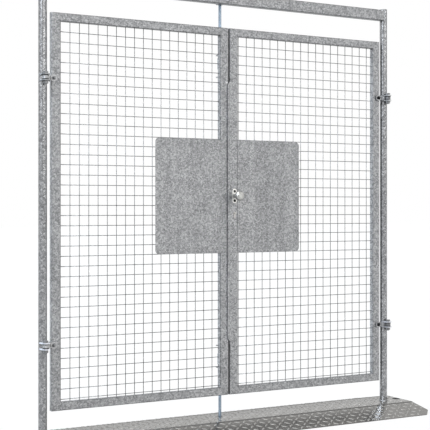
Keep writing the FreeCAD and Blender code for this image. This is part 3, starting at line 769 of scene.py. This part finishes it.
# Hinges
def make_strap_bolts(side):
    """Hexagon bolts that hold the hinge straps to the leaf, with their heads behind and nuts in front."""
    inward = 1 if side == "left" else -1
    bolts = bmesh.new()
    washers = bmesh.new()
    stile_low, stile_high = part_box(f"{side}_hinge_stile")
    strap_front = stile_low.y - STRAP_THICKNESS
    washer_rings = [(WASHER_RADIUS, 0), (WASHER_RADIUS, WASHER_THICKNESS)]
    thread_end = WASHER_THICKNESS + NUT_HEIGHT + THREAD_PROUD
    thread_rings = [(THREAD_RADIUS, 0), (THREAD_RADIUS, thread_end - THREAD_CHAMFER),
                    (THREAD_RADIUS * THREAD_TIP, thread_end)]
    across = BOLT_ACROSS[side]
    for level in LEVELS:
        low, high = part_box(f"{side}_{level}_hinge_strap")
        inner_end = high.x if side == "left" else low.x
        x = inner_end - inward * STRAP_BOLT_INSETS[side]
        z = (low.z + high.z) / 2
        in_front = axes_matrix((x, strap_front, z), -REAR)
        add_rings(washers, in_front, washer_rings, WASHER_SIDES)
        add_hexagon(bolts, (x, strap_front - WASHER_THICKNESS, z), -REAR, across, NUT_HEIGHT)
        add_rings(bolts, in_front, thread_rings, THREAD_SIDES)
        add_rings(washers, axes_matrix((x, stile_high.y, z), REAR), washer_rings, WASHER_SIDES)
        add_hexagon(bolts, (x, stile_high.y + WASHER_THICKNESS, z), REAR, across, BOLT_HEAD)
    # The right nuts are near black: painted shade of their flanks and cast shadows; the left ones are zinc
    metal = nut_metal if side == "left" else shade_dark_steel
    new_piece(f"{side}_strap_bolts", bolts, metal, f"{side}_leaf", smooth=False)
    new_piece(f"{side}_strap_washers", washers, hinge_metal, f"{side}_leaf", smooth=False)


def make_eye_shade_collars(side):
    """Near-black collars at both ends of the hinge eyes, painted shade of the gaps between eyes and lugs."""
    shape = bmesh.new()
    pin_low, pin_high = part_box(f"{side}_hinge_pins")
    pin = (pin_low + pin_high) / 2
    for level in LEVELS:
        low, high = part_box(f"{side}_{level}_hinge_strap")
        eye_radius = pin.x - low.x if side == "left" else high.x - pin.x
        outer = eye_radius + COLLAR_PROUD
        inner = eye_radius - COLLAR_DEPTH
        for bottom in (low.z, high.z - COLLAR_HEIGHT):
            top = bottom + COLLAR_HEIGHT
            rings = [(inner, bottom), (outer, bottom), (outer, top), (inner, top)]
            add_lathe(shape, Matrix.Translation((pin.x, pin.y, 0)), rings, COLLAR_SIDES)
    new_piece(f"{side}_eye_shade_collars", shape, shade_dark_steel, f"{side}_leaf", smooth=False)


# Lock
def make_escutcheon_screws():
    """Two screws in each escutcheon, with the pale rings that they sit in; their near-black heads are painted
    shade of sunk sockets.
    """
    heads = bmesh.new()
    rings = bmesh.new()
    ring_steps = [(SCREW_RADIUS * share, height) for share, height in SCREW_RING]
    head_steps = [(SCREW_RADIUS * share, height) for share, height in SCREW_HEAD]
    for node, outward in (("knob_escutcheon", -REAR), ("lever_escutcheon", REAR)):
        low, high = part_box(node)
        face = low.y if outward.y < 0 else high.y
        for offset in (-SCREW_SPACING / 2, SCREW_SPACING / 2):
            centre = Vector(((low.x + high.x) / 2, face, (low.z + high.z) / 2 + offset))
            add_rings(rings, axes_matrix(centre, outward), ring_steps, SCREW_SIDES)
            on_ring = centre + outward * SCREW_RING_HEIGHT
            add_rings(heads, axes_matrix(on_ring, outward), head_steps, SCREW_SIDES)
    new_piece("escutcheon_screws", heads, shade_dark_steel, "right_leaf")
    new_piece("escutcheon_screw_rings", rings, plate_metal, "right_leaf")


def make_key_plugs():
    """Plug and key slot at both ends of the lock cylinder; the slot is a near-black block, painted shade of
    the opening.
    """
    plugs = bmesh.new()
    slots = bmesh.new()
    low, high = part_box("lock_cylinder")
    plug_rings = [(PLUG_RADIUS, 0), (PLUG_RADIUS * PLUG_TIP, PLUG_HEIGHT)]
    for face, outward in ((low.y, -REAR), (high.y, REAR)):
        centre = Vector(((low.x + high.x) / 2, face, high.z - PLUG_DROP))
        add_rings(plugs, axes_matrix(centre, outward), plug_rings, PLUG_SIDES)
        slot_place = Matrix.Translation(centre + outward * PLUG_HEIGHT) @ Matrix.Diagonal((*KEY_SLOT, 1))
        bmesh.ops.create_cube(slots, size=1.0, matrix=slot_place)
    new_piece("key_plugs", plugs, brass_metal, "right_leaf")
    new_piece("key_slots", slots, shade_dark_steel, "right_leaf", smooth=False)


# Welds and sleeves
def add_post_welds(shape, side):
    """Beads round a post's foot, up the header's end and along the lugs."""
    low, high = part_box(f"{side}_post")
    centre = (low + high) / 2
    radius = (high.x - low.x) / 2
    foot = Vector((centre.x, centre.y, low.z))
    foot_ring = ring_points(foot, radius + WELD_RADIUS * FOOT_WELD_OFFSET, FOOT_WELD_STEPS)[:-1]
    add_weld(shape, foot_ring, WELD_RADIUS * FOOT_WELD, closed=True)
    header_low, header_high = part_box("header_beam")
    inward = 1 if side == "left" else -1
    x = centre.x + inward * math.sqrt(radius ** 2 - header_high.y ** 2)
    for y in (header_low.y, header_high.y):
        add_weld(shape, [Vector((x, y, header_low.z)), Vector((x, y, header_high.z))], WELD_RADIUS)
    lug_low, lug_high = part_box(f"{side}_hinge_lugs")
    pair_height = LUG_GAP + 2 * LUG_THICKNESS
    arc_radius = radius + WELD_RADIUS * LUG_WELD_OFFSET
    for bottom in (lug_low.z, lug_high.z - pair_height):
        for z in (bottom, bottom + pair_height):
            arc_centre = Vector((centre.x, centre.y, z))
            arc = ring_points(arc_centre, arc_radius, LUG_WELD_STEPS, *LUG_WELD_ARC)
            add_weld(shape, arc, WELD_RADIUS * LUG_WELD)


def make_frame_welds():
    """Beads of both posts and along the bolt keeper."""
    shape = bmesh.new()
    for side in SIDES:
        add_post_welds(shape, side)
    low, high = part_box("bolt_keeper")
    for z in (low.z, high.z):
        add_weld(shape, [Vector((low.x, low.y, z)), Vector((high.x, low.y, z))], WELD_RADIUS * KEEPER_WELD)
    new_piece("frame_welds", shape, weld_metal, "frame")


def make_guide_welds():
    """Beads along the bolt guides where they meet the leaf."""
    shape = bmesh.new()
    for level in reversed(LEVELS):
        low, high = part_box(f"{level}_bolt_guides")
        for bottom in (low.z, high.z - GUIDE_THICKNESS):
            for z in (bottom, bottom + GUIDE_THICKNESS):
                ends = [Vector((low.x, low.y, z)), Vector((high.x, low.y, z))]
                add_weld(shape, ends, WELD_RADIUS * GUIDE_WELD)
    new_piece("guide_welds", shape, weld_metal, "left_leaf")


def make_upright_sleeves():
    """Short cups under the deck's end holes, for the uprights of the next fence panels."""
    shape = bmesh.new()
    deck_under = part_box("ramp_deck")[0].z
    for mount in frame["record"]["mounts"]:
        if mount["kind"] == "bore":
            x, y, _ = mount["pos_m"]
            place = Matrix.Translation((x, y, 0))
            inner = mount["dims"]["r_mm"] / 1000
            outer = inner + SLEEVE_WALL
            wall = [(inner, deck_under), (inner, SLEEVE_FLOOR), (outer, SLEEVE_FLOOR), (outer, deck_under)]
            add_lathe(shape, place, wall, SLEEVE_SIDES)
            bottom = [(outer, SLEEVE_FLOOR - SLEEVE_WALL), (outer, SLEEVE_FLOOR)]
            add_rings(shape, place, bottom, SLEEVE_SIDES)
    new_piece("upright_sleeves", shape, shaded_sleeve_metal, "frame")


# Stage
def seen_rays(tree):
    """1 for rays that show the background: from the camera, off metal or through glass."""
    rays = add_node(tree, "ShaderNodeLightPath").outputs
    metal = calculate(tree, "ADD", rays["Is Camera Ray"], rays["Is Glossy Ray"])
    values = {0: metal, 1: rays["Is Transmission Ray"]}
    return add_node(tree, "ShaderNodeMath", values, use_clamp=True).outputs[0]


def mix_shaders(tree, share, first, second):
    """Shader that goes over from one to another by a share."""
    return add_node(tree, "ShaderNodeMixShader", {0: share, 1: first.outputs[0], 2: second.outputs[0]})


def floor_material():
    """Surface that shows white with the object's shadow, and gives back little light."""
    material, tree, place = new_material("pale_floor")
    cloud = noise(tree, place, FLOOR_CLOUD)
    bounce = add_node(tree, "ShaderNodeBsdfDiffuse", {"Color": ramp_node(tree, cloud, FLOOR_BOUNCE)})
    lit = add_node(tree, "ShaderNodeBsdfDiffuse", {"Color": ramp_node(tree, cloud, FLOOR_SHADOW)})
    glow = add_node(tree, "ShaderNodeEmission", {"Strength": FLOOR_GLOW})
    white = add_node(tree, "ShaderNodeAddShader", {0: lit.outputs[0], 1: glow.outputs[0]})
    close_material(tree, mix_shaders(tree, seen_rays(tree), bounce, white))
    return material


def make_floor():
    """Wide level floor."""
    shape = bmesh.new()
    bmesh.ops.create_grid(shape, x_segments=1, y_segments=1, size=FLOOR_HALF)
    mesh = bpy.data.meshes.new("floor")
    shape.to_mesh(mesh)
    shape.free()
    mesh.materials.append(floor_material())
    floor = bpy.data.objects.new("floor", mesh)
    bpy.context.scene.collection.objects.link(floor)


def make_world():
    """Soft sky, cool on the left and warm on the right, with white behind the object."""
    world = bpy.data.worlds.new("studio")
    world.use_nodes = True
    tree = world.node_tree
    tree.nodes.clear()
    direction = add_node(tree, "ShaderNodeTexCoord").outputs["Generated"]
    across = add_node(tree, "ShaderNodeSeparateXYZ", {"Vector": direction}).outputs["X"]
    tone = ramp_node(tree, share_between(tree, across, -1.0, 1.0), SKY_TONES)
    sky = add_node(tree, "ShaderNodeBackground", {"Color": tone, "Strength": SKY_STRENGTH})
    white = add_node(tree, "ShaderNodeBackground", {"Color": (1, 1, 1, 1), "Strength": 1.0})
    mixed = mix_shaders(tree, seen_rays(tree), sky, white)
    add_node(tree, "ShaderNodeOutputWorld", {"Surface": mixed.outputs[0]})
    bpy.context.scene.world = world


def add_lamp(name, comes_from, spread, strength, colour, mirrored=True, diffused=True):
    """Wide light from one direction, for highlights, for even light or for both."""
    lamp = bpy.data.lights.new(name, "SUN")
    lamp.angle = math.radians(spread)
    lamp.energy = strength
    lamp.color = colour
    holder = bpy.data.objects.new(name, lamp)
    holder.rotation_euler = Vector(comes_from).to_track_quat("Z", "Y").to_euler()
    holder.visible_glossy = mirrored
    holder.visible_diffuse = diffused
    bpy.context.scene.collection.objects.link(holder)


def make_lamps():
    """Even light from the front and the side, and highlights from the sky, the front and overhead."""
    add_lamp("front", comes_from=(0.60, -0.78, 0.14), spread=22, strength=2.25, colour=(1.0, 0.99, 0.97),
             mirrored=False)
    add_lamp("sky", comes_from=(-0.8, -0.42, 0.52), spread=20, strength=5.5, colour=(0.84, 0.91, 1.0),
             diffused=False)
    add_lamp("side", comes_from=(-0.72, 0.45, 0.53), spread=60, strength=3.2, colour=(0.80, 0.90, 1.0),
             mirrored=False)
    add_lamp("stripe", comes_from=(0.25, -0.94, 0.22), spread=14, strength=0.26, colour=(1.0, 1.0, 1.0),
             diffused=False)
    add_lamp("overhead", comes_from=(-0.45, -0.15, 0.88), spread=16, strength=4.0, colour=(1.0, 1.0, 1.0),
             diffused=False)


def make_camera():
    """Level camera at the photograph's viewing angle."""
    lens = bpy.data.cameras.new("camera")
    lens.lens = CAMERA_LENS
    lens.sensor_width = SENSOR_WIDTH
    lens.shift_y = CAMERA_SHIFT
    camera = bpy.data.objects.new("camera", lens)
    camera.location = CAMERA_PLACE
    camera.rotation_euler = (math.pi / 2, 0, -CAMERA_HEADING)
    bpy.context.scene.collection.objects.link(camera)
    bpy.context.scene.camera = camera


finish_nodes()
for leaf_side in SIDES:
    make_wire_mesh(leaf_side)
    make_strap_bolts(leaf_side)
    make_eye_shade_collars(leaf_side)
make_deck_tread()
make_slope_tread("front", -1)
make_slope_tread("rear", 1)
make_crease_shade_lines()
make_escutcheon_screws()
make_key_plugs()
make_frame_welds()
make_guide_welds()
make_upright_sleeves()
make_floor()
make_world()
make_lamps()
make_camera()
bpy.context.scene.view_settings.view_transform = "Standard"
